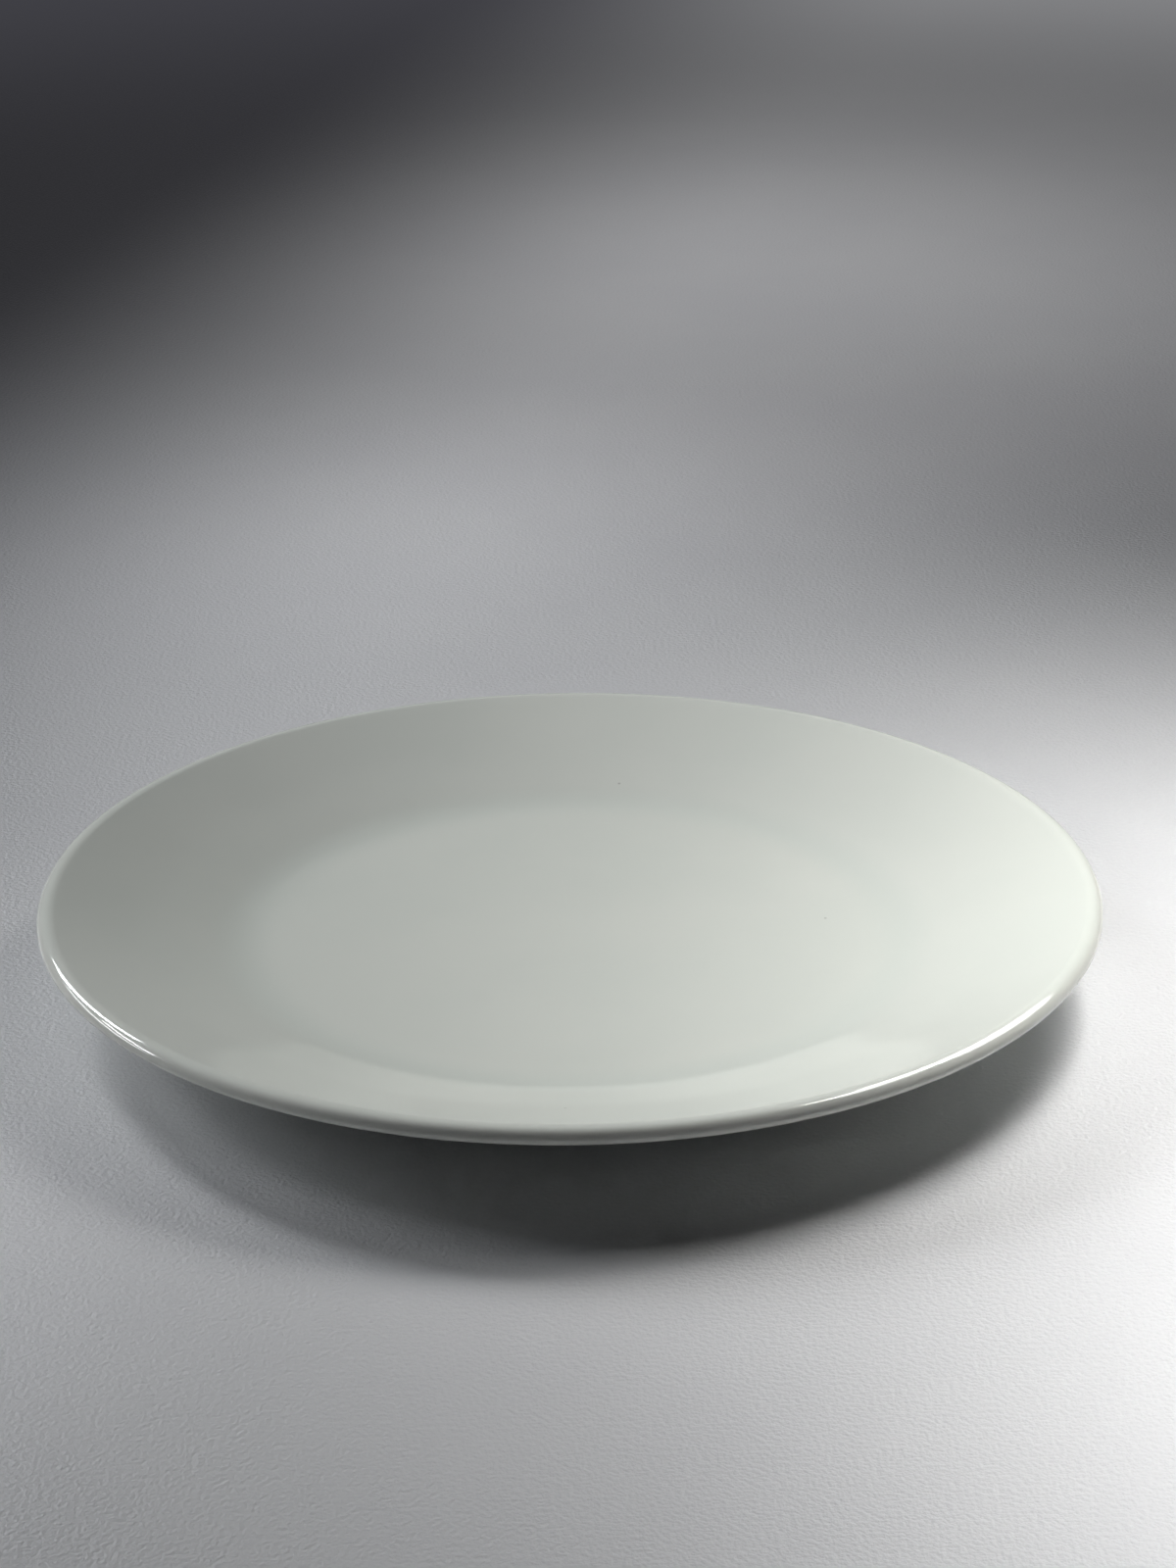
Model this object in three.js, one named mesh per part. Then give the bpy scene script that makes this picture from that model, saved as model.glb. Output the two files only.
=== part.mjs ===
// Round porcelain dinner plate
// A fired porcelain body stands on a foot ring whose resting face is left bare. One coat of glaze runs
// from the foot's outer wall, round the plate's edge, to the middle of the well, and a second coat
// covers the recess inside the foot.
// Millimetres, +Z up, origin on the plate's axis in the plane that the foot stands on.

import * as THREE from "three";

// Overall sizes, measured over the glaze
const PLATE_DIAMETER = 260;
const PLATE_HEIGHT = 24;
const EDGE_THICKNESS = 4.2;
const WALL_THICKNESS = 4.7; // of the flange, beside the bend
const BASE_THICKNESS = 4.8; // in the middle of the well

// Well, bend and flange
const WELL_RADIUS = 81.5; // where the slope of the well meets the slope of the flange
const WELL_FLAT_RADIUS = 40; // where the level middle of the well meets its slope
const WELL_RISE = 0.6; // from the middle of the well to WELL_RADIUS
const DISH_RADIUS = 2800; // rounds the well from level to its slope
const BEND_RADIUS = 46; // rounds the well into the flange
const FLANGE_SAG = 0.25; // how far the flange hangs below a straight line from the bend to the edge
const FLANGE_RADIUS = 280; // rounds the flange along that hang

// Foot ring
const FOOT_RADIUS = 78; // to the middle of the resting face
const FOOT_WIDTH = 4; // across the resting face, before its corners are rounded
const FOOT_HEIGHT = 4; // from the table to the recess inside the ring
const FOOT_DRAFT = THREE.MathUtils.degToRad(12); // lean of both walls, so that the ring leaves its mould
const FOOT_ROOT_RADIUS = 2.5;
const FOOT_TREAD_RADIUS = 0.6;

// Glaze
const GLAZE_THICKNESS = 0.25;
const GLAZE_BOND = 0.02; // clearance between the glaze and the body
const GLAZE_STOP = 1; // height over the table where the glaze ends on the foot's walls

// Facets
const FACETS_ROUND = 60;
const FACETS = { dish: 2, bend: 5, flange: 3, underside: 2, edge: 4, root: 3, tread: 2 };
const SAME_POINT = 0.001; // two points of the section nearer than this are one

// Section sizes of the bare body
const coat = GLAZE_BOND + GLAZE_THICKNESS;
const edgeRadius = EDGE_THICKNESS / 2 - coat;
const recessZ = FOOT_HEIGHT + coat;
const wellZ = FOOT_HEIGHT + BASE_THICKNESS - coat;
const footInner = FOOT_RADIUS - FOOT_WIDTH / 2;
const footOuter = FOOT_RADIUS + FOOT_WIDTH / 2;

// A point of the section: its distance from the axis and its height over the table
const point = (r, z) => new THREE.Vector2(r, z);

// A corner of the section, with the radius that rounds it and the number of facets in that arc
const corner = (at, radius = 0, facets = 1) => ({ at, radius, facets });

// The unit vector from one point to another, and the one a quarter turn to its left
const direction = (from, to) => to.clone().sub(from).normalize();
const leftOf = (v) => point(-v.y, v.x);

// Where the line through a and b crosses the line through c and d
function crossing(a, b, c, d) {
  const ab = b.clone().sub(a);
  const cd = d.clone().sub(c);
  const share = c.clone().sub(a).cross(cd) / ab.cross(cd);
  return a.clone().addScaledVector(ab, share);
}

// The arc that rounds a corner, tangent to both its sides and at most half as long as either
function arcPoints(before, { at, radius, facets }, after) {
  const arriving = direction(before, at);
  const leaving = direction(at, after);
  const turn = Math.atan2(arriving.cross(leaving), arriving.dot(leaving));
  const halfTan = Math.tan(Math.abs(turn) / 2);
  const reach = Math.min(radius * halfTan, before.distanceTo(at) / 2, after.distanceTo(at) / 2);
  const start = at.clone().addScaledVector(arriving, -reach);
  const centre = start.clone().addScaledVector(leftOf(arriving), (Math.sign(turn) * reach) / halfTan);
  const step = turn / facets;
  return Array.from({ length: facets + 1 }, (_, i) => start.clone().rotateAround(centre, i * step));
}

// A run of the section through its corners, without the double points where two arcs meet
function roundedRun(corners) {
  const last = corners.length - 1;
  const points = corners.flatMap((c, i) =>
    i === 0 || i === last || c.radius === 0
      ? [c.at]
      : arcPoints(corners[i - 1].at, c, corners[i + 1].at)
  );
  return points.filter((p, i) => i === 0 || p.distanceTo(points[i - 1]) > SAME_POINT);
}

// The same run, moved outwards by one distance everywhere. Outwards is to the right of the run.
function offsetRun(points, distance) {
  return points.map((p, i) => {
    const arriving = direction(points[i - 1] ?? p, i > 0 ? p : points[1]);
    const leaving = i < points.length - 1 ? direction(p, points[i + 1]) : arriving;
    const mitre = leftOf(arriving).add(leftOf(leaving)).negate();
    return p.clone().addScaledVector(mitre, distance / (1 + arriving.dot(leaving)));
  });
}

// Recess inside the foot, from the axis down to where its glaze ends
const innerWall = (z) => point(footInner - z * Math.tan(FOOT_DRAFT), z);
const recessRun = roundedRun([
  corner(point(0, recessZ)),
  corner(innerWall(recessZ), FOOT_ROOT_RADIUS, FACETS.root),
  corner(innerWall(GLAZE_STOP)),
]);

// Bare tread of the foot
const outerWall = (z) => point(footOuter + z * Math.tan(FOOT_DRAFT), z);
const treadRun = roundedRun([
  corner(innerWall(GLAZE_STOP)),
  corner(innerWall(0), FOOT_TREAD_RADIUS, FACETS.tread),
  corner(outerWall(0), FOOT_TREAD_RADIUS, FACETS.tread),
  corner(outerWall(GLAZE_STOP)),
]);

// Upper line of the well and the flange, and the full round of the edge at its end
const wellMiddle = point(0, wellZ);
const wellFlat = point(WELL_FLAT_RADIUS, wellZ);
const bend = point(WELL_RADIUS, wellZ + WELL_RISE);
const edgeCentre = point(PLATE_DIAMETER / 2 - coat - edgeRadius, PLATE_HEIGHT - coat - edgeRadius);
const flangeMiddle = bend.clone().lerp(edgeCentre.clone().add(point(0, edgeRadius)), 1 / 2);
flangeMiddle.y -= FLANGE_SAG;

// The flange's outer half touches the edge's round, so it leans a little more than the line to its centre
const toEdge = edgeCentre.clone().sub(flangeMiddle);
const outerSlope = toEdge.angle() + Math.asin(edgeRadius / toEdge.length());
const outerAlong = point(Math.cos(outerSlope), Math.sin(outerSlope));
const outerUp = leftOf(outerAlong);
const edgeEnd = edgeCentre.clone().addScaledVector(outerAlong, edgeRadius);
const edgeTop = edgeEnd.clone().addScaledVector(outerUp, edgeRadius);
const edgeBottom = edgeEnd.clone().addScaledVector(outerUp, -edgeRadius);

// Underside of the flange: as thick as the edge out to the middle, then thicker towards the foot
const innerUp = leftOf(direction(bend, flangeMiddle));
const undersideMiddle = flangeMiddle.clone().addScaledVector(outerUp, -2 * edgeRadius);
const undersideBend = bend.clone().addScaledVector(innerUp, 2 * coat - WALL_THICKNESS);
const footRoot = crossing(undersideMiddle, undersideBend, outerWall(0), outerWall(GLAZE_STOP));

// Outside of the plate, from where its glaze begins on the foot, round the edge, to the well's middle
const outsideRun = roundedRun([
  corner(outerWall(GLAZE_STOP)),
  corner(footRoot, FOOT_ROOT_RADIUS, FACETS.root),
  corner(undersideMiddle, FLANGE_RADIUS, FACETS.underside),
  corner(edgeBottom, edgeRadius, FACETS.edge),
  corner(edgeTop, edgeRadius, FACETS.edge),
  corner(flangeMiddle, FLANGE_RADIUS, FACETS.flange),
  corner(bend, BEND_RADIUS, FACETS.bend),
  corner(wellFlat, DISH_RADIUS, FACETS.dish),
  corner(wellMiddle),
]);

// Closed profiles: the body's three runs end to end, and a thin band along each glazed run
const bodyProfile = [...recessRun, ...treadRun.slice(1), ...outsideRun.slice(1)];
const outerGlazeProfile = [
  ...offsetRun(outsideRun, GLAZE_BOND).reverse(),
  ...offsetRun(outsideRun, coat),
];
const recessGlazeProfile = [
  ...offsetRun(recessRun, coat),
  ...offsetRun(recessRun, GLAZE_BOND).reverse(),
];

// Fired porcelain is an off-white matt stone, and its glaze a clear glossy white
const porcelain = new THREE.MeshStandardMaterial({ color: 0xe4e0d6, roughness: 0.75, metalness: 0 });
const glaze = new THREE.MeshStandardMaterial({ color: 0xe9ece6, roughness: 0.08, metalness: 0 });

// A sub-part turned from a closed profile
function turned(name, profile, material) {
  const mesh = new THREE.Mesh(new THREE.LatheGeometry(profile, FACETS_ROUND), material);
  mesh.name = name;
  return mesh;
}

// The plate, stood up from the lathe's +Y axis to +Z
const plate = new THREE.Group();
plate.rotation.x = Math.PI / 2;
plate.add(
  turned("porcelain_body", bodyProfile, porcelain),
  turned("outer_glaze", outerGlazeProfile, glaze.clone()),
  turned("foot_recess_glaze", recessGlazeProfile, glaze.clone())
);

export default plate;
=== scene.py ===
"""Round porcelain plate: glaze, bare foot ring and a plain studio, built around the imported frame."""

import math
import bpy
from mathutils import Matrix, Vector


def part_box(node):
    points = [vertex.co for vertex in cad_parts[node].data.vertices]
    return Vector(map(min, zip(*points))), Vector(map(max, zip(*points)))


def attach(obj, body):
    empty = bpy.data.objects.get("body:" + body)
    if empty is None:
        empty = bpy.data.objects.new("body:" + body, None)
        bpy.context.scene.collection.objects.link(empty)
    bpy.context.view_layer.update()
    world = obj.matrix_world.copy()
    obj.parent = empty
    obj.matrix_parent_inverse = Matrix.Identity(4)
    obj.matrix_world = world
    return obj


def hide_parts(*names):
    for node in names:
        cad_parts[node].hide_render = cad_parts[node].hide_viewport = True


bl_info = {
    "name": "Porcelain Plate",
    "version": (1, 0, 0),
    "blender": (4, 5, 0),
    "location": "View3D > Sidebar > Plate",
    "description": "Turns a glazed porcelain plate with a bare foot ring and sets it in a plain studio",
    "category": "Add Mesh",
}

import bpy
from bpy.props import FloatProperty, FloatVectorProperty, IntProperty, PointerProperty
from bpy.types import Operator, Panel, PropertyGroup
from mathutils import Matrix, Vector

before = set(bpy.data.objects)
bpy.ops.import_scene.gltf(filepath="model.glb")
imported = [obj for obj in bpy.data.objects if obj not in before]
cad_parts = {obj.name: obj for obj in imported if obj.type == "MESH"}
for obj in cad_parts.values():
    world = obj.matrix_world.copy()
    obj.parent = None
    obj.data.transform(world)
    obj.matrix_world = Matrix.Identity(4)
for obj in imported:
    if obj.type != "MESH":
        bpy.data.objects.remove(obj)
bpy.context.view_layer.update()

# Units
MM = 0.001
DEG = math.pi / 180

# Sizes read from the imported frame
GLAZE_LOW, GLAZE_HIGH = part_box("outer_glaze")
PLATE_DIAMETER = round(GLAZE_HIGH.x - GLAZE_LOW.x, 4)
PLATE_HEIGHT = round(GLAZE_HIGH.z, 4)

# Fineness of the turned surfaces
ARC_STEP = 4 * DEG
LONGEST_STEP = 1.2 * MM
SAME_POINT = 0.001 * MM
HIDDEN_SKIP = 3
ROUND_END_STEPS = 6

# Spans of a noise: nearly all its values, most of them, and most without the lowest
NOISE_WIDE = (0.25, 0.75)
NOISE_MOST = (0.3, 0.7)
NOISE_UPPER = (0.35, 0.7)

# Glaze: features to the metre, shares of a colour, range of roughness, and relief
GLAZE_WAVER = 0.35 * MM
WAVER_SCALE = 95
CLOUD_SCALE = 24
CLOUD_SHARE = 0.45
POOL_REACH = 10 * MM
THIN_EDGE_SHARE = 0.8
GLOSS_SCALE = 13
GLAZE_ROUGHNESS = (0.045, 0.085)
GLAZE_IOR = 1.5
WAVE_SCALE = 32
WAVE_HEIGHT = 0.022 * MM
PEEL_SCALE = 190
PEEL_HEIGHT = 0.004 * MM

# Specks in the glaze: cells to the metre, share of cells that hold one, radius, and a few known places
SPECK_CELLS = 55
SPECK_CHANCE = 0.12
SPECK_SIZE = 0.22 * MM
SPECK_WIDE = 0.5 * MM
SPECK_SPOTS = ((13.6 * MM, 89.1 * MM), (63.6 * MM, 7.3 * MM), (-1.6 * MM, -106.9 * MM))
SPECK_SHARE = 0.4
SPECK_CORE = 0.4

# Scuffs of cutlery in the well
SCUFFS_ACROSS = 1400
SCUFFS_ALONG = 14
SCUFF_SPAN = (0.68, 0.76)
SCUFF_TURNS = (0.4, 1.3, 2.5)
SCUFF_ROUGHNESS = 0.05
SCUFF_REACH = 0.9

# Bare porcelain of the foot: grain, soil, pits, and the rings that grinding leaves
BARE_GRAIN = 1900
BARE_GRAIN_SPAN = (0.3, 0.75)
BARE_GRAIN_SHARE = 0.3
BARE_ROUGHNESS = (0.66, 0.84)
SOIL_SCALE = 75
SOIL_HEIGHT = 0.35 * MM
SOIL_SHARES = (0.75, 0.1)
PIT_CELLS = 420
PIT_SIZE = 0.22 * MM
PIT_CHANCE = 0.1
PORE_DEPTH = 0.03 * MM
GRINDING_RINGS = 2600
GRINDING_DEPTH = 0.004 * MM

# Floor: clouds, grain and dust, painted shade that darkens it to the far left, and where it fades into the
# backdrop
FLOOR_HALF = 6.0
FLOOR_CLOUDS = 9
FLOOR_CLOUD_SHARE = 0.5
FLOOR_GRAIN = 850
FLOOR_GRAIN_SHARE = 0.25
FLOOR_ROUGHNESS = (0.36, 0.44)
FLOOR_SPECULAR = 0.3
FLOOR_RELIEF = 0.36 * MM
DUST_CELLS = 45
DUST_SIZE = 0.5 * MM
DUST_CHANCE = 0.1
DUST_SHARE = 0.5
# Painted shade on the floor: how much the back leans it, and where it starts and is full to the far left
PAINTED_SHADE_LEAN = 0.25
PAINTED_SHADE_START = 0.10
PAINTED_SHADE_END = 0.42
FADE_START = 0.7
FADE_END = 1.6

# Colours of the light
COOL = (0.95, 0.98, 1.0)
PALE = (0.97, 0.99, 1.0)
WARM = (1.0, 0.995, 0.96)
WHITE = (1.0, 1.0, 1.0)
BLUISH = (0.96, 0.97, 1.0)
CREAM = (1.0, 1.0, 0.98)

# Soft lamps: name, place, aim, width and height, spread, power in watts, colour
LAMPS = (
    ("left_low", (-1.04, 0.40, 0.475), (0, 0, 0), (0.70, 0.08), 90 * DEG, 0.56, COOL),
    ("left_mid", (-0.95, 0.34, 0.65), (0, 0, 0), (0.40, 0.06), 90 * DEG, 0.52, COOL),
    ("left_back", (-0.68, 0.77, 0.67), (0, 0, 0), (0.18, 0.38), 46 * DEG, 0.42, PALE),
    ("right_back", (0.36, 0.33, 0.46), (0.19, -0.04, 0), (0.30, 0.20), 54 * DEG, 0.40, WARM),
    ("right_box", (0.36, 0.16, 0.50), (0.30, -0.10, 0), (0.30, 0.20), 42 * DEG, 0.34, WARM),
    ("floor_back", (0.05, 0.72, 0.90), (0.05, 0.72, 0), (0.30, 0.30), 64 * DEG, 0.48, WHITE),
    ("floor_near", (-0.04, 0.34, 0.50), (-0.04, 0.34, 0), (0.20, 0.20), 46 * DEG, 0.04, WHITE),
    ("floor_left", (-0.21, -0.14, 0.50), (-0.21, -0.14, 0), (0.10, 0.10), 32 * DEG, 0.02, BLUISH),
    ("floor_right", (0.17, -0.26, 0.50), (0.17, -0.26, 0), (0.10, 0.10), 32 * DEG, 0.04, CREAM),
)

# What the glaze mirrors of the room, from the horizon up: sine of the height angle and brightness
ROOM = ((0.0, 0.05), (0.40, 0.06), (0.54, 0.12), (0.68, 0.30), (0.82, 0.55), (1.0, 0.5))

# Light from the room on everything else
WORLD_LIGHT = (0.004, 0.004, 0.004)


def length_property(name, description, default):
    """A size in metres, shown in the scene's length unit."""
    return FloatProperty(name=name, description=description, default=default, unit="LENGTH", precision=5)


def colour_property(name, description, default):
    """A colour with three channels."""
    return FloatVectorProperty(
        name=name, description=description, default=default, subtype="COLOR", size=3, min=0, max=1
    )


class PlateShape(PropertyGroup):
    """Sizes of the plate, measured over the glaze where it is glazed."""

    diameter: length_property("Diameter", "Across the edge", PLATE_DIAMETER)
    height: length_property("Height", "From the table to the top of the edge", PLATE_HEIGHT)
    edge_thickness: length_property("Edge thickness", "Of the rounded edge", 4.2 * MM)
    edge_ease: length_property("Edge ease", "How far the edge's rounding reaches in over the top", 3.4 * MM)
    edge_drop: length_property("Edge drop", "How far below its middle the edge is widest", 0.8 * MM)
    wall_thickness: length_property("Wall thickness", "Of the flange beside the bend", 4.7 * MM)
    base_thickness: length_property("Base thickness", "In the middle of the well", 4.8 * MM)
    well_radius: length_property("Well radius", "To where the well meets the flange", 81.5 * MM)
    well_flat_radius: length_property("Well flat radius", "Of the level middle of the well", 40 * MM)
    well_rise: length_property("Well rise", "From the middle of the well to its edge", 0.6 * MM)
    dish_radius: length_property("Dish radius", "Rounds the well from level to its slope", 2800 * MM)
    bend_radius: length_property("Bend radius", "Rounds the well into the flange", 46 * MM)
    flange_sag: length_property("Flange sag", "How far the flange hangs below a straight line", 0.25 * MM)
    flange_radius: length_property("Flange radius", "Rounds the flange along its sag", 280 * MM)
    foot_radius: length_property("Foot radius", "To the middle of the resting face", 78 * MM)
    foot_width: length_property("Foot width", "Across the resting face", 4 * MM)
    foot_height: length_property("Foot height", "From the table to the recess", 4 * MM)
    foot_draft: FloatProperty(
        name="Foot draft", description="Lean of the foot's walls", default=12 * DEG, subtype="ANGLE"
    )
    foot_root_radius: length_property("Foot root radius", "Rounds the foot into the base", 2.5 * MM)
    foot_tread_radius: length_property("Foot tread radius", "Rounds the resting face", 0.6 * MM)
    glaze_thickness: length_property("Glaze thickness", "Of both coats", 0.25 * MM)
    glaze_bond: length_property("Glaze bond", "Clearance between glaze and body", 0.02 * MM)
    glaze_stop: length_property("Glaze stop", "Height where the glaze ends on the foot", 1 * MM)
    softening: length_property("Softening", "Reach of the slip that softens the top's curves", 1.4 * MM)
    facets_round: IntProperty(
        name="Facets round", description="Facets of a full turn", default=300, min=24, max=720
    )


class PlateFinish(PropertyGroup):
    """Colours of the glaze and the bare porcelain."""

    glaze: colour_property("Glaze", "White glaze over porcelain", (0.815, 0.839, 0.791))
    pooled_glaze: colour_property("Pooled glaze", "Where the glaze lies thicker", (0.770, 0.806, 0.760))
    thin_glaze: colour_property("Thin glaze", "Where the glaze runs thin", (0.835, 0.842, 0.790))
    speck: colour_property("Speck", "Iron specks in the glaze", (0.20, 0.19, 0.16))
    bare: colour_property("Bare porcelain", "Fired body without glaze", (0.775, 0.745, 0.672))
    soiled: colour_property("Soiled porcelain", "Where the foot has rubbed on tables", (0.48, 0.46, 0.42))


class StageSettings(PropertyGroup):
    """Floor and camera of the plain studio."""

    floor: colour_property("Floor", "Pale satin floor", (0.74, 0.74, 0.76))
    floor_shade: colour_property("Floor shade", "Clouds and grain in the floor", (0.68, 0.68, 0.71))
    # Painted shade: the colour the floor darkens to at the far left, standing in for light that falls off
    # there
    painted_far_shade: colour_property("Floor dusk", "Far end of the floor, to the left", (0.055, 0.055, 0.065))
    dust: colour_property("Dust", "Specks of dust on the floor", (0.25, 0.25, 0.26))
    backdrop: colour_property("Backdrop", "Plain grey far behind", (0.25, 0.252, 0.262))
    lens: FloatProperty(name="Lens", description="Focal length on a 36 mm frame", default=80.2, min=10)
    camera_distance: length_property("Camera distance", "In front of the plate's axis", 0.7835)
    camera_height: length_property("Camera height", "Above the table", 0.3763)
    camera_pitch: FloatProperty(
        name="Camera pitch", description="Downwards", default=22.66 * DEG, subtype="ANGLE"
    )
    camera_yaw: FloatProperty(
        name="Camera yaw", description="To the right", default=0.34 * DEG, subtype="ANGLE"
    )
    camera_roll: FloatProperty(
        name="Camera roll", description="Clockwise", default=0.53 * DEG, subtype="ANGLE"
    )


# Section of the plate

def point(r, z):
    """A point of the section: distance from the axis and height over the table."""
    return Vector((r, z))


def left_of(v):
    """The vector a quarter turn to the left."""
    return point(-v.y, v.x)


def crossing(a, b, c, d):
    """Where the line through a and b crosses the line through c and d."""
    ab = b - a
    cd = d - c
    share = (c - a).cross(cd) / ab.cross(cd)
    return a + ab * share


def arc_points(before, at, radius, after):
    """The arc that rounds a corner, tangent to both its sides and at most half as long as either."""
    arriving = (at - before).normalized()
    leaving = (after - at).normalized()
    turn = math.atan2(arriving.cross(leaving), arriving.dot(leaving))
    half_tan = math.tan(abs(turn) / 2)
    reach = min(radius * half_tan, (at - before).length / 2, (after - at).length / 2)
    start = at - arriving * reach
    centre = start + left_of(arriving) * math.copysign(reach / half_tan, turn)
    spoke = start - centre
    facets = max(math.ceil(abs(turn) / ARC_STEP), math.ceil(abs(turn) * spoke.length / LONGEST_STEP))
    return [centre + Matrix.Rotation(turn * i / facets, 2) @ spoke for i in range(facets + 1)]


def rounded_run(corners):
    """A run of the section through (point, radius) corners, without double points where arcs meet."""
    points = [corners[0][0]]
    for (before, _), (at, radius), (after, _) in zip(corners, corners[1:], corners[2:]):
        points += arc_points(before, at, radius, after)
    points.append(corners[-1][0])
    return [p for i, p in enumerate(points) if i == 0 or (p - points[i - 1]).length > SAME_POINT]


def even_run(points, spacing):
    """The same run with evenly spaced points."""
    lengths = [0.0]
    for a, b in zip(points, points[1:]):
        lengths.append(lengths[-1] + (b - a).length)
    steps = math.ceil(lengths[-1] / spacing)
    even = []
    stretch = 0
    for i in range(steps + 1):
        along = lengths[-1] * i / steps
        while stretch < len(points) - 2 and lengths[stretch + 1] < along:
            stretch += 1
        share = (along - lengths[stretch]) / (lengths[stretch + 1] - lengths[stretch])
        even.append(points[stretch].lerp(points[stretch + 1], share))
    return even


def softened_run(points, reach):
    """An evenly spaced run whose curves are softened over a reach, with both its ends in place."""
    spacing = (points[1] - points[0]).length
    # Each pass adds half a squared spacing to the squared reach
    passes = round(2 * (reach / spacing) ** 2)
    for _ in range(passes):
        inner = [a / 4 + b / 2 + c / 4 for a, b, c in zip(points, points[1:], points[2:])]
        points = [points[0], *inner, points[-1]]
    return points


def offset_run(points, distance):
    """The same run moved outwards, which is to its right, by one distance everywhere."""
    moved = []
    for i, p in enumerate(points):
        leaving = (points[min(i + 1, len(points) - 1)] - points[min(i, len(points) - 2)]).normalized()
        arriving = (points[max(i, 1)] - points[max(i - 1, 0)]).normalized()
        mitre = -(left_of(arriving) + left_of(leaving))
        moved.append(p + mitre * (distance / (1 + arriving.dot(leaving))))
    return moved


def thinned_run(points, skip):
    """Every few points of a run that nothing shows, with both its ends."""
    return [p for i, p in enumerate(points) if i % skip == 0 or i == len(points) - 1]


def round_end(start, end):
    """Points between the two skins of a coat where it ends: half a circle, bulging to the right."""
    middle = (start + end) / 2
    turns = [math.pi * i / ROUND_END_STEPS for i in range(1, ROUND_END_STEPS)]
    return [middle + Matrix.Rotation(t, 2) @ (start - middle) for t in turns]


def eased_corner(start, corner, end):
    """A quarter of an ellipse round a corner, without its start."""
    steps = math.ceil(math.pi / 2 / ARC_STEP)
    turns = [math.pi / 2 * i / steps for i in range(1, steps + 1)]
    to_start = start - corner
    to_end = end - corner
    return [corner + to_start * (1 - math.sin(t)) + to_end * (1 - math.cos(t)) for t in turns]


def plate_runs(shape):
    """The bare body's section in three runs: the recess, the tread, and the outside up to the well."""
    coat = shape.glaze_bond + shape.glaze_thickness
    edge_radius = shape.edge_thickness / 2 - coat
    recess_z = shape.foot_height + coat
    well_z = shape.foot_height + shape.base_thickness - coat
    foot_inner = shape.foot_radius - shape.foot_width / 2
    foot_outer = shape.foot_radius + shape.foot_width / 2
    lean = math.tan(shape.foot_draft)

    def inner_wall(z):
        return point(foot_inner - z * lean, z)

    def outer_wall(z):
        return point(foot_outer + z * lean, z)

    recess = rounded_run([
        (point(0, recess_z), 0),
        (inner_wall(recess_z), shape.foot_root_radius),
        (inner_wall(shape.glaze_stop), 0),
    ])
    tread = rounded_run([
        (inner_wall(shape.glaze_stop), 0),
        (inner_wall(0), shape.foot_tread_radius),
        (outer_wall(0), shape.foot_tread_radius),
        (outer_wall(shape.glaze_stop), 0),
    ])

    bend = point(shape.well_radius, well_z + shape.well_rise)
    edge_r = shape.diameter / 2 - coat - edge_radius
    edge_centre = point(edge_r, shape.height - coat - edge_radius)
    flange_middle = (bend + edge_centre + point(0, edge_radius)) / 2 - point(0, shape.flange_sag)
    to_edge = edge_centre - flange_middle
    slope = math.atan2(to_edge.y, to_edge.x) + math.asin(edge_radius / to_edge.length)
    outer_along = point(math.cos(slope), math.sin(slope))
    outer_up = left_of(outer_along)
    edge_end = edge_centre + outer_along * edge_radius
    inner_up = left_of((flange_middle - bend).normalized())
    underside_middle = flange_middle - outer_up * 2 * edge_radius
    underside_bend = bend + inner_up * (2 * coat - shape.wall_thickness)
    foot_root = crossing(underside_middle, underside_bend, outer_wall(0), outer_wall(shape.glaze_stop))

    # The edge is widest below its middle, so it is set back as far as that would carry it out
    setback = shape.edge_drop * (1 + math.tan(slope) - 1 / math.cos(slope))
    widest = edge_end - outer_up * shape.edge_drop - outer_along * setback
    lower_corner = edge_end - outer_up * edge_radius - outer_along * setback
    edge_corner = edge_end + outer_up * edge_radius - outer_along * setback
    shoulder = edge_corner - outer_along * shape.edge_ease
    under = rounded_run([
        (outer_wall(shape.glaze_stop), 0),
        (foot_root, shape.foot_root_radius),
        (underside_middle, shape.flange_radius),
        (lower_corner, edge_radius - shape.edge_drop),
        (edge_corner, 0),
    ])
    under[-1:] = eased_corner(widest, edge_corner, shoulder)
    top = rounded_run([
        (shoulder, 0),
        (flange_middle, shape.flange_radius),
        (bend, shape.bend_radius),
        (point(shape.well_flat_radius, well_z), shape.dish_radius),
        (point(0, well_z), 0),
    ])
    top = softened_run(even_run(top, LONGEST_STEP), shape.softening)
    return recess, tread, under + top[1:]


# Node helpers

def add(tree, kind, inputs=(), **settings):
    """A new node in a tree, with its settings, and with inputs set to a value or linked to a socket."""
    node = tree.nodes.new(kind)
    for name, value in settings.items():
        setattr(node, name, value)
    for key, value in dict(inputs).items():
        if isinstance(value, bpy.types.NodeSocket):
            tree.links.new(value, node.inputs[key])
        else:
            node.inputs[key].default_value = value
    return node


def calc(tree, operation, *values):
    """One step of arithmetic on sockets or numbers."""
    return add(tree, "ShaderNodeMath", enumerate(values), operation=operation).outputs[0]


def ramp(tree, value, low, high, start=0.0, end=1.0):
    """A smooth ramp from one value to another while the input goes from low to high."""
    span = {"Value": value, "From Min": low, "From Max": high, "To Min": start, "To Max": end}
    return add(tree, "ShaderNodeMapRange", span, interpolation_type="SMOOTHSTEP").outputs["Result"]


def noise(tree, place, scale, detail=2.0):
    """Cloudy noise with so many features to the metre."""
    settings = {"Vector": place, "Scale": scale, "Detail": detail}
    return add(tree, "ShaderNodeTexNoise", settings).outputs["Fac"]


def blend(tree, share, a, b):
    """A colour between two others, each a socket or three channels."""
    a, b = (c if isinstance(c, bpy.types.NodeSocket) else (*c, 1) for c in (a, b))
    return add(tree, "ShaderNodeMix", {0: share, 6: a, 7: b}, data_type="RGBA").outputs[2]


# Turning a section

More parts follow.
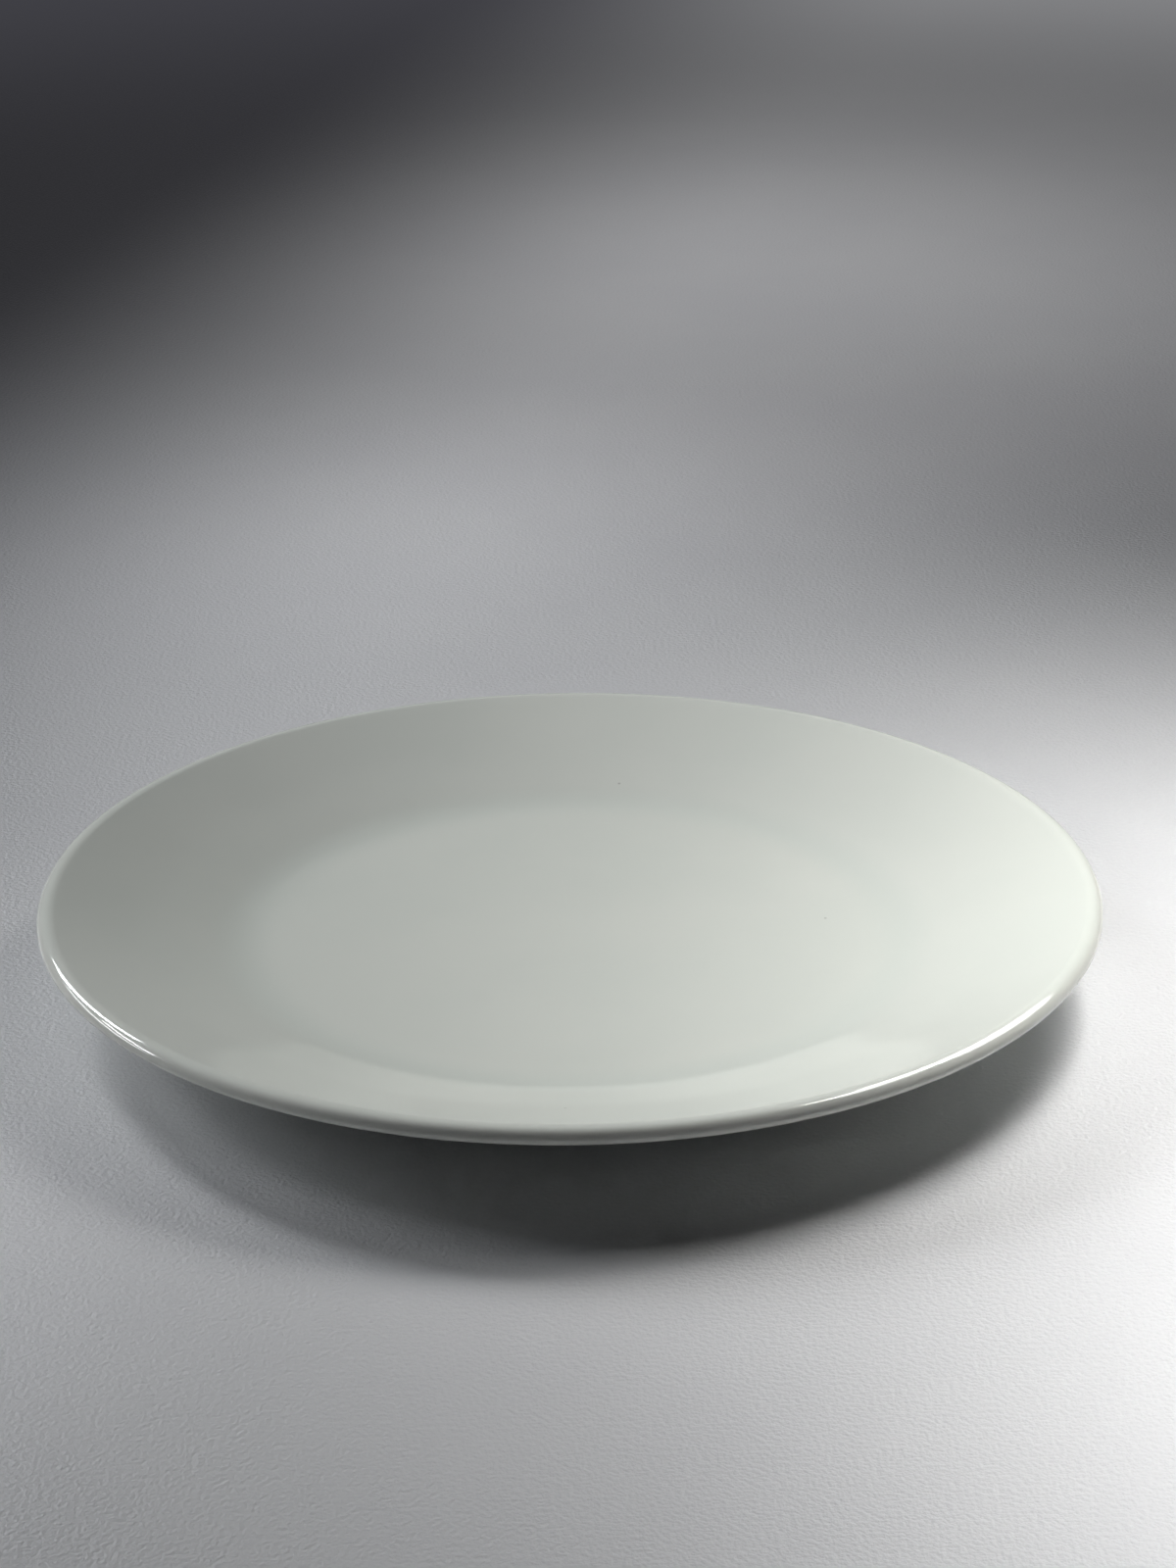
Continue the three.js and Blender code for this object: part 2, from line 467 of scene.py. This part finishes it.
def wheel_tree():
    """Geometry nodes that turn an upright section round the Z axis into a closed, smooth surface."""
    tree = bpy.data.node_groups.new("turned_on_wheel", "GeometryNodeTree")
    tree.interface.new_socket("Section", in_out="INPUT", socket_type="NodeSocketGeometry")
    names = {}
    for name, kind in (
        ("Facets Round", "Int"), ("Mandrel Radius", "Float"), ("Glaze Line", "Float"),
        ("Glaze Waver", "Float"), ("Waver Reach", "Float"), ("Finish", "Material"),
    ):
        socket = tree.interface.new_socket(name, in_out="INPUT", socket_type="NodeSocket" + kind)
        names[name] = socket.identifier
    tree.interface.new_socket("Turned", in_out="OUTPUT", socket_type="NodeSocketGeometry")
    given = tree.nodes.new("NodeGroupInput").outputs

    # Lay the section down beside the mandrel circle and sweep it round
    aside = add(tree, "ShaderNodeCombineXYZ", {"X": calc(tree, "MULTIPLY", given["Mandrel Radius"], -1)})
    lay = add(tree, "GeometryNodeTransform", {
        "Geometry": given["Section"], "Translation": aside.outputs[0], "Rotation": (math.pi / 2, 0, 0),
    })
    circle = add(tree, "GeometryNodeCurvePrimitiveCircle", {
        "Resolution": given["Facets Round"], "Radius": given["Mandrel Radius"],
    })
    sweep = add(tree, "GeometryNodeCurveToMesh", {
        "Curve": circle.outputs["Curve"], "Profile Curve": lay.outputs["Geometry"],
    })
    poles = add(tree, "GeometryNodeMergeByDistance", {
        "Geometry": sweep.outputs["Mesh"], "Distance": SAME_POINT,
    })

    # Let the glaze line waver where the foot was wiped
    place = add(tree, "GeometryNodeInputPosition").outputs[0]
    axes = add(tree, "ShaderNodeSeparateXYZ", {0: place}).outputs
    rise = calc(tree, "SUBTRACT", axes["Z"], given["Glaze Line"])
    fade = ramp(tree, rise, 0, given["Waver Reach"], 1, 0)
    around = add(tree, "ShaderNodeCombineXYZ", {"X": axes["X"], "Y": axes["Y"]}).outputs[0]
    wave = ramp(tree, noise(tree, around, WAVER_SCALE), *NOISE_WIDE, 0, given["Glaze Waver"])
    lift = add(tree, "ShaderNodeCombineXYZ", {"Z": calc(tree, "MULTIPLY", fade, wave)})
    move = add(tree, "GeometryNodeSetPosition", {
        "Geometry": poles.outputs["Geometry"], "Offset": lift.outputs[0],
    })

    smooth = add(tree, "GeometryNodeSetShadeSmooth", {"Geometry": move.outputs["Geometry"]})
    real = add(tree, "GeometryNodeRealizeInstances", {"Geometry": smooth.outputs["Geometry"]})
    coat = add(tree, "GeometryNodeSetMaterial", {
        "Geometry": real.outputs["Geometry"], "Material": given["Finish"],
    })
    add(tree, "NodeGroupOutput", {"Turned": coat.outputs["Geometry"]})
    return tree, names


def turned_piece(name, section, material, shape, waver):
    """A plain mesh object, turned from a section that starts and ends on the axis."""
    curve = bpy.data.curves.new(name + "_section", "CURVE")
    curve.dimensions = "3D"
    spline = curve.splines.new("POLY")
    spline.points.add(len(section) - 1)
    for spot, p in zip(spline.points, reversed(section)):
        spot.co = (max(p.x, 0), 0, p.y, 1)
    drawn = bpy.data.objects.new(name + "_section", curve)
    bpy.context.scene.collection.objects.link(drawn)
    tree, sockets = wheel_tree()
    turn = drawn.modifiers.new("Wheel", "NODES")
    turn.node_group = tree
    turn[sockets["Facets Round"]] = shape.facets_round
    turn[sockets["Mandrel Radius"]] = shape.foot_radius
    turn[sockets["Glaze Line"]] = shape.glaze_stop
    turn[sockets["Glaze Waver"]] = waver
    turn[sockets["Waver Reach"]] = shape.glaze_stop
    turn[sockets["Finish"]] = material
    depsgraph = bpy.context.evaluated_depsgraph_get()
    mesh = bpy.data.meshes.new_from_object(drawn.evaluated_get(depsgraph), depsgraph=depsgraph)
    mesh.name = name
    drawn.modifiers.remove(turn)
    bpy.data.objects.remove(drawn)
    bpy.data.curves.remove(curve)
    bpy.data.node_groups.remove(tree)
    piece = bpy.data.objects.new(name, mesh)
    bpy.context.scene.collection.objects.link(piece)
    return piece


# Finishes

def new_finish(name):
    """A material with its node tree, its shader, and the places on the piece that its patterns follow."""
    material = bpy.data.materials.new(name)
    material.use_nodes = True
    tree = material.node_tree
    place = add(tree, "ShaderNodeTexCoord").outputs["Object"]
    return material, tree, tree.nodes["Principled BSDF"], place


def from_above(tree, place):
    """Each place with its height left out."""
    return add(tree, "ShaderNodeVectorMath", {0: place, 1: (1, 1, 0)}, operation="MULTIPLY").outputs[0]


def axis_distance(tree, place):
    """How far each place is from the plate's axis."""
    flat = from_above(tree, place)
    return add(tree, "ShaderNodeVectorMath", {0: flat}, operation="LENGTH").outputs["Value"]


def relief(tree, height):
    """A bump of so many metres."""
    return add(tree, "ShaderNodeBump", {"Height": height, "Distance": 1.0}).outputs["Normal"]


def speckle(tree, place, scale, size, share):
    """Scattered round specks: cells to the metre, radius in metres, share of cells that hold one."""
    cells = add(tree, "ShaderNodeTexVoronoi", {"Vector": place, "Scale": scale})
    chance = add(tree, "ShaderNodeSeparateColor", {"Color": cells.outputs["Color"]}).outputs[0]
    width = calc(tree, "MULTIPLY", chance, size * scale / share)
    core = calc(tree, "MULTIPLY", width, SPECK_CORE)
    held = calc(tree, "LESS_THAN", chance, share)
    near = ramp(tree, cells.outputs["Distance"], core, width, 1, 0)
    return calc(tree, "MULTIPLY", near, held)


def speck_at(tree, place, spot, size):
    """One round speck at a place seen from above."""
    ends = {0: from_above(tree, place), 1: (*spot, 0)}
    away = add(tree, "ShaderNodeVectorMath", ends, operation="DISTANCE").outputs["Value"]
    return ramp(tree, away, size * SPECK_CORE, size, 1, 0)


def scuffs(tree, place, turn):
    """Fine straight marks of cutlery, all in one direction."""
    lean = add(tree, "ShaderNodeMapping", {
        "Vector": place, "Rotation": (0, 0, turn), "Scale": (SCUFFS_ACROSS, SCUFFS_ALONG, 1),
    }).outputs[0]
    return ramp(tree, noise(tree, lean, 1, detail=1), *SCUFF_SPAN)


def glaze_finish(name, shape, finish, worn):
    """White glaze: thicker in the bend and at the foot, thin round the edge, with a few iron specks."""
    material, tree, shader, place = new_finish(name)
    radius = axis_distance(tree, place)

    # Colour
    clouds = ramp(tree, noise(tree, place, CLOUD_SCALE, detail=3), *NOISE_UPPER, 0, CLOUD_SHARE)
    colour = blend(tree, clouds, finish.glaze, finish.pooled_glaze)
    from_bend = calc(tree, "ABSOLUTE", calc(tree, "SUBTRACT", radius, shape.well_radius))
    colour = blend(tree, ramp(tree, from_bend, 0, POOL_REACH, 1, 0), colour, finish.pooled_glaze)
    half = shape.diameter / 2
    edge = ramp(tree, radius, half - shape.edge_thickness / 2, half, 0, THIN_EDGE_SHARE)
    colour = blend(tree, edge, colour, finish.thin_glaze)
    specks = speckle(tree, place, SPECK_CELLS, SPECK_SIZE, SPECK_CHANCE)
    if worn:
        height = add(tree, "ShaderNodeSeparateXYZ", {0: place}).outputs["Z"]
        top = calc(tree, "GREATER_THAN", height, shape.foot_height + shape.base_thickness / 2)
        for spot in SPECK_SPOTS:
            shown = calc(tree, "MULTIPLY", speck_at(tree, place, spot, SPECK_WIDE), top)
            specks = calc(tree, "MAXIMUM", specks, shown)
    colour = blend(tree, calc(tree, "MULTIPLY", specks, SPECK_SHARE), colour, finish.speck)
    tree.links.new(colour, shader.inputs["Base Color"])

    # Gloss
    gloss = ramp(tree, noise(tree, place, GLOSS_SCALE), *NOISE_MOST, *GLAZE_ROUGHNESS)
    if worn:
        marks = scuffs(tree, place, SCUFF_TURNS[0])
        for turn in SCUFF_TURNS[1:]:
            marks = calc(tree, "MAXIMUM", marks, scuffs(tree, place, turn))
        scuffed = shape.well_radius * SCUFF_REACH
        well = ramp(tree, radius, shape.well_flat_radius, scuffed, SCUFF_ROUGHNESS, 0)
        gloss = calc(tree, "ADD", gloss, calc(tree, "MULTIPLY", marks, well))
    tree.links.new(gloss, shader.inputs["Roughness"])
    shader.inputs["IOR"].default_value = GLAZE_IOR

    # Slight unevenness of the fired surface
    waves = calc(tree, "MULTIPLY", noise(tree, place, WAVE_SCALE, detail=1), WAVE_HEIGHT)
    peel = calc(tree, "MULTIPLY", noise(tree, place, PEEL_SCALE, detail=1), PEEL_HEIGHT)
    tree.links.new(relief(tree, calc(tree, "ADD", waves, peel)), shader.inputs["Normal"])
    return material


def bare_finish(finish):
    """Bare fired porcelain: fine-grained, matt, ground round its foot and soiled where it rubs."""
    material, tree, shader, place = new_finish("bare_porcelain")
    grain = noise(tree, place, BARE_GRAIN, detail=3)

    # Colour
    height = add(tree, "ShaderNodeSeparateXYZ", {0: place}).outputs["Z"]
    patches = ramp(tree, noise(tree, place, SOIL_SCALE, detail=3), *NOISE_UPPER)
    rubbed = calc(tree, "MULTIPLY", ramp(tree, height, 0, SOIL_HEIGHT, *SOIL_SHARES), patches)
    colour = blend(tree, rubbed, finish.bare, finish.soiled)
    shaded = ramp(tree, grain, *BARE_GRAIN_SPAN, 0, BARE_GRAIN_SHARE)
    colour = blend(tree, shaded, colour, finish.soiled)
    colour = blend(tree, speckle(tree, place, PIT_CELLS, PIT_SIZE, PIT_CHANCE), colour, finish.speck)
    tree.links.new(colour, shader.inputs["Base Color"])
    tree.links.new(ramp(tree, grain, *NOISE_MOST, *BARE_ROUGHNESS), shader.inputs["Roughness"])

    # Rings of the grinding and open pores
    turns = calc(tree, "MULTIPLY", axis_distance(tree, place), GRINDING_RINGS * math.tau)
    ground = calc(tree, "MULTIPLY", calc(tree, "SINE", turns), GRINDING_DEPTH)
    pores = calc(tree, "MULTIPLY", grain, PORE_DEPTH)
    tree.links.new(relief(tree, calc(tree, "ADD", ground, pores)), shader.inputs["Normal"])
    return material


def seen_rays(tree):
    """One for the rays that show a background: the camera's, and those that gloss or glass sends on."""
    path = add(tree, "ShaderNodeLightPath").outputs
    shown = calc(tree, "MAXIMUM", path["Is Camera Ray"], path["Is Glossy Ray"])
    return calc(tree, "MAXIMUM", shown, path["Is Transmission Ray"])


def floor_finish(stage):
    """Pale satin floor with a fine grain and painted shade darkening it to the far left, fading into the
    backdrop far away.
    """
    material, tree, shader, place = new_finish("satin_floor")
    grain = noise(tree, place, FLOOR_GRAIN)

    # Colour
    clouds = ramp(tree, noise(tree, place, FLOOR_CLOUDS, detail=3), *NOISE_MOST, 0, FLOOR_CLOUD_SHARE)
    colour = blend(tree, clouds, stage.floor, stage.floor_shade)
    shaded = ramp(tree, grain, *NOISE_UPPER, 0, FLOOR_GRAIN_SHARE)
    colour = blend(tree, shaded, colour, stage.floor_shade)
    dust = calc(tree, "MULTIPLY", speckle(tree, place, DUST_CELLS, DUST_SIZE, DUST_CHANCE), DUST_SHARE)
    colour = blend(tree, dust, colour, stage.dust)
    axes = add(tree, "ShaderNodeSeparateXYZ", {0: place}).outputs
    # Painted shade: the floor's colour darkens towards the far left and back, where the lamps' light falls
    # off
    leftwards = calc(tree, "SUBTRACT", calc(tree, "MULTIPLY", axes["Y"], PAINTED_SHADE_LEAN), axes["X"])
    painted_shade = ramp(tree, leftwards, PAINTED_SHADE_START, PAINTED_SHADE_END)
    colour = blend(tree, painted_shade, colour, stage.painted_far_shade)
    tree.links.new(colour, shader.inputs["Base Color"])

    # Satin sheen and relief of the grain
    tree.links.new(ramp(tree, grain, *NOISE_MOST, *FLOOR_ROUGHNESS), shader.inputs["Roughness"])
    shader.inputs["Specular IOR Level"].default_value = FLOOR_SPECULAR
    tree.links.new(relief(tree, calc(tree, "MULTIPLY", grain, FLOOR_RELIEF)), shader.inputs["Normal"])

    # Far from the plate, what the camera and the glaze see of the floor is the backdrop's grey, with the
    # same painted shade darkening it to the far left
    away = ramp(tree, axis_distance(tree, place), FADE_START, FADE_END)
    fade = calc(tree, "MULTIPLY", away, seen_rays(tree))
    grey = blend(tree, painted_shade, stage.backdrop, stage.painted_far_shade)
    plain = add(tree, "ShaderNodeEmission", {"Color": grey})
    mixed = add(tree, "ShaderNodeMixShader", {0: fade, 1: shader.outputs[0], 2: plain.outputs[0]})
    tree.links.new(mixed.outputs[0], tree.nodes["Material Output"].inputs["Surface"])
    return material


# Pieces

class PLATE_OT_outer_glaze(Operator):
    """Turn the glaze from the foot's outer wall, round the edge, to the middle of the well"""

    bl_idname = "plate.outer_glaze"
    bl_label = "Outer Glaze"

    def execute(self, context):
        shape = context.scene.plate_shape
        _, _, outside = plate_runs(shape)
        outer = offset_run(outside, shape.glaze_bond + shape.glaze_thickness)
        inner = thinned_run(offset_run(outside, shape.glaze_bond), HIDDEN_SKIP)
        section = [*reversed(inner), *round_end(inner[0], outer[0]), *outer]
        material = glaze_finish("white_glaze", shape, context.scene.plate_finish, True)
        piece = turned_piece("glaze_skin", section, material, shape, GLAZE_WAVER)
        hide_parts("outer_glaze")
        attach(piece, "root")
        return {"FINISHED"}


class PLATE_OT_recess_glaze(Operator):
    """Turn the glaze of the recess inside the foot"""

    bl_idname = "plate.recess_glaze"
    bl_label = "Recess Glaze"

    def execute(self, context):
        shape = context.scene.plate_shape
        recess, _, _ = plate_runs(shape)
        outer = offset_run(recess, shape.glaze_bond + shape.glaze_thickness)
        inner = thinned_run(offset_run(recess, shape.glaze_bond), HIDDEN_SKIP)
        section = [*outer, *round_end(outer[-1], inner[-1]), *reversed(inner)]
        material = glaze_finish("recess_glaze", shape, context.scene.plate_finish, False)
        piece = turned_piece("recess_glaze_skin", section, material, shape, GLAZE_WAVER)
        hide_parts("foot_recess_glaze")
        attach(piece, "root")
        return {"FINISHED"}


class PLATE_OT_porcelain_body(Operator):
    """Turn the fired porcelain body, of which the foot's tread shows"""

    bl_idname = "plate.porcelain_body"
    bl_label = "Porcelain Body"

    def execute(self, context):
        shape = context.scene.plate_shape
        recess, tread, outside = plate_runs(shape)
        section = [*recess, *tread[1:], *thinned_run(outside, HIDDEN_SKIP)[1:]]
        material = bare_finish(context.scene.plate_finish)
        piece = turned_piece("fired_body", section, material, shape, 0)
        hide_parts("porcelain_body")
        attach(piece, "root")
        return {"FINISHED"}


# Studio

def room_light(tree):
    """What a mirror sees of the room, by how high it looks."""
    place = add(tree, "ShaderNodeTexCoord").outputs["Generated"]
    rise = add(tree, "ShaderNodeSeparateXYZ", {0: place}).outputs["Z"]
    bands = add(tree, "ShaderNodeValToRGB", {0: rise})
    bands.color_ramp.interpolation = "EASE"
    stops = bands.color_ramp.elements
    for height, _ in ROOM[1:-1]:
        stops.new(height)
    for stop, (height, level) in zip(stops, ROOM):
        stop.position = height
        stop.color = (level, level, level, 1)
    return bands.outputs["Color"]


def set_lamp(scene, name, place, aim, size, spread, power, colour):
    """A soft lamp, turned towards a point with its width level."""
    data = bpy.data.lights.new(name, "AREA")
    data.shape = "RECTANGLE"
    data.size, data.size_y = size
    data.spread = spread
    data.energy = power
    data.color = colour
    lamp = bpy.data.objects.new(name, data)
    lamp.location = place
    lamp.rotation_euler = (Vector(aim) - Vector(place)).to_track_quat("-Z", "Y").to_euler()
    scene.collection.objects.link(lamp)


class PLATE_OT_stage(Operator):
    """Set the floor, the lights and the camera of a plain studio"""

    bl_idname = "plate.stage"
    bl_label = "Stage"

    def execute(self, context):
        scene = context.scene
        stage = scene.plate_stage
        mesh = bpy.data.meshes.new("floor")
        corners = [(x * FLOOR_HALF, y * FLOOR_HALF, 0) for x, y in ((-1, -1), (1, -1), (1, 1), (-1, 1))]
        mesh.from_pydata(corners, [], [(0, 1, 2, 3)])
        mesh.materials.append(floor_finish(stage))
        floor = bpy.data.objects.new("floor", mesh)
        scene.collection.objects.link(floor)

        for lamp in LAMPS:
            set_lamp(scene, *lamp)

        world = bpy.data.worlds.new("studio")
        world.use_nodes = True
        tree = world.node_tree
        room = room_light(tree)
        path = add(tree, "ShaderNodeLightPath").outputs
        mirrored = calc(tree, "MAXIMUM", path["Is Glossy Ray"], path["Is Transmission Ray"])
        colour = blend(tree, mirrored, WORLD_LIGHT, room)
        colour = blend(tree, path["Is Camera Ray"], colour, stage.backdrop)
        tree.links.new(colour, tree.nodes["Background"].inputs["Color"])
        scene.world = world

        data = bpy.data.cameras.new("camera")
        data.lens = stage.lens
        camera = bpy.data.objects.new("camera", data)
        turn = Matrix.Rotation(-stage.camera_yaw, 4, "Z")
        tilt = Matrix.Rotation(math.pi / 2 - stage.camera_pitch, 4, "X")
        roll = Matrix.Rotation(-stage.camera_roll, 4, "Z")
        stand = Matrix.Translation((0, -stage.camera_distance, stage.camera_height))
        camera.matrix_world = stand @ turn @ tilt @ roll
        scene.collection.objects.link(camera)
        scene.camera = camera
        scene.view_settings.view_transform = "Standard"
        return {"FINISHED"}


class PLATE_PT_sidebar(Panel):
    """Sizes, finishes and pieces of the plate"""

    bl_label = "Plate"
    bl_idname = "PLATE_PT_sidebar"
    bl_space_type = "VIEW_3D"
    bl_region_type = "UI"
    bl_category = "Plate"

    def draw(self, context):
        for group in (context.scene.plate_shape, context.scene.plate_finish, context.scene.plate_stage):
            column = self.layout.column()
            for name in group.bl_rna.properties.keys():
                if name not in {"rna_type", "name"}:
                    column.prop(group, name)
        for piece in PIECES:
            self.layout.operator(piece.bl_idname)


PIECES = (PLATE_OT_porcelain_body, PLATE_OT_recess_glaze, PLATE_OT_outer_glaze, PLATE_OT_stage)
CLASSES = (PlateShape, PlateFinish, StageSettings, *PIECES, PLATE_PT_sidebar)


def register():
    for cls in CLASSES:
        bpy.utils.register_class(cls)
    bpy.types.Scene.plate_shape = PointerProperty(type=PlateShape)
    bpy.types.Scene.plate_finish = PointerProperty(type=PlateFinish)
    bpy.types.Scene.plate_stage = PointerProperty(type=StageSettings)


def unregister():
    del bpy.types.Scene.plate_stage
    del bpy.types.Scene.plate_finish
    del bpy.types.Scene.plate_shape
    for cls in reversed(CLASSES):
        bpy.utils.unregister_class(cls)


def main():
    register()
    bpy.ops.plate.porcelain_body()
    bpy.ops.plate.recess_glaze()
    bpy.ops.plate.outer_glaze()
    bpy.ops.plate.stage()


if __name__ == "__main__":
    main()
